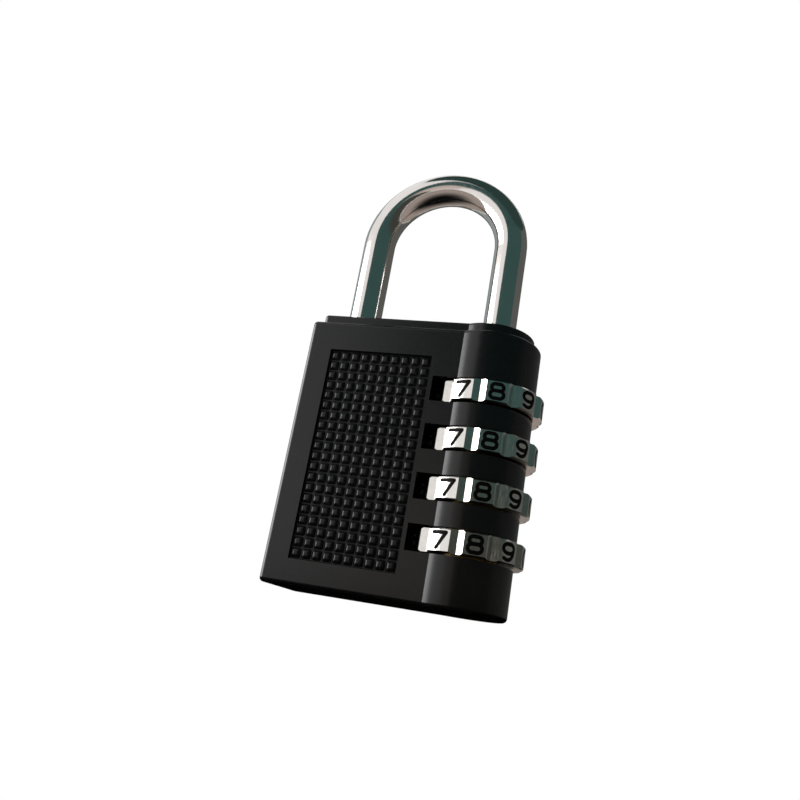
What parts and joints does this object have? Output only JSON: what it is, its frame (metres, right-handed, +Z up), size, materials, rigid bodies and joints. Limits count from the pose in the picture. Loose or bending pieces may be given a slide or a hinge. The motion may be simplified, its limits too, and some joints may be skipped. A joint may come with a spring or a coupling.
{
  "type": "combination padlock",
  "caption": "Black rectangular padlock with a round end that carries chrome number wheels, a textured grip panel and a tall chrome shackle.",
  "frame": {"origin": "centre of the flat bottom face, midway between the left face and the round end, with the padlock standing upright", "axes": "+Z up through the shackle, +X towards the number wheels, -Y out of the front face"},
  "size_m": [0.0455, 0.0206, 0.0892],
  "materials": {
    "housing_black": "satin",
    "plate_black": "satin",
    "plated_steel": "zinc plated",
    "grip_black": "matte",
    "hard_chrome": "polished",
    "spring_steel": "drawn wire",
    "dial_chrome": "satin chrome",
    "sleeve_brass": "machined"
  },
  "bodies": {
    "case": {"housing": "housing_black", "top_plate": "plate_black", "top_plate_dowels": "plated_steel", "grip_panel_front": "grip_black", "grip_panel_back": "grip_black", "thrust_washer": "plated_steel", "clutch_spring": "spring_steel", "bottom_plug": "housing_black", "plug_pin": "plated_steel", "detent_spring_1": "spring_steel", "detent_spring_2": "spring_steel", "detent_spring_3": "spring_steel", "detent_spring_4": "spring_steel"},
    "shackle_body": {"shackle": "hard_chrome", "retaining_ring": "spring_steel"},
    "wheel_1": {"dial_1": "dial_chrome", "sleeve_1": "sleeve_brass"},
    "wheel_2": {"dial_2": "dial_chrome", "sleeve_2": "sleeve_brass"},
    "wheel_3": {"dial_3": "dial_chrome", "sleeve_3": "sleeve_brass"},
    "wheel_4": {"dial_4": "dial_chrome", "sleeve_4": "sleeve_brass"}
  },
  "joints": [
    {"name": "shackle_lift", "type": "slide", "parent": "case", "child": "shackle_body", "axis": [0, 0, 1], "range_m": [0, 0.0075]},
    {"name": "dial_1_turn", "type": "hinge", "parent": "case", "child": "wheel_1", "pos_m": [0.01326, 0, 0.01144], "axis": [0, 0, 1], "continuous": true, "deforming": ["detent_spring_1"]},
    {"name": "dial_2_turn", "type": "hinge", "parent": "case", "child": "wheel_2", "pos_m": [0.01326, 0, 0.02061], "axis": [0, 0, 1], "continuous": true, "deforming": ["detent_spring_2"]},
    {"name": "dial_3_turn", "type": "hinge", "parent": "case", "child": "wheel_3", "pos_m": [0.01326, 0, 0.02978], "axis": [0, 0, 1], "continuous": true, "deforming": ["detent_spring_3"]},
    {"name": "dial_4_turn", "type": "hinge", "parent": "case", "child": "wheel_4", "pos_m": [0.01326, 0, 0.03895], "axis": [0, 0, 1], "continuous": true, "deforming": ["detent_spring_4"]}
  ]
}
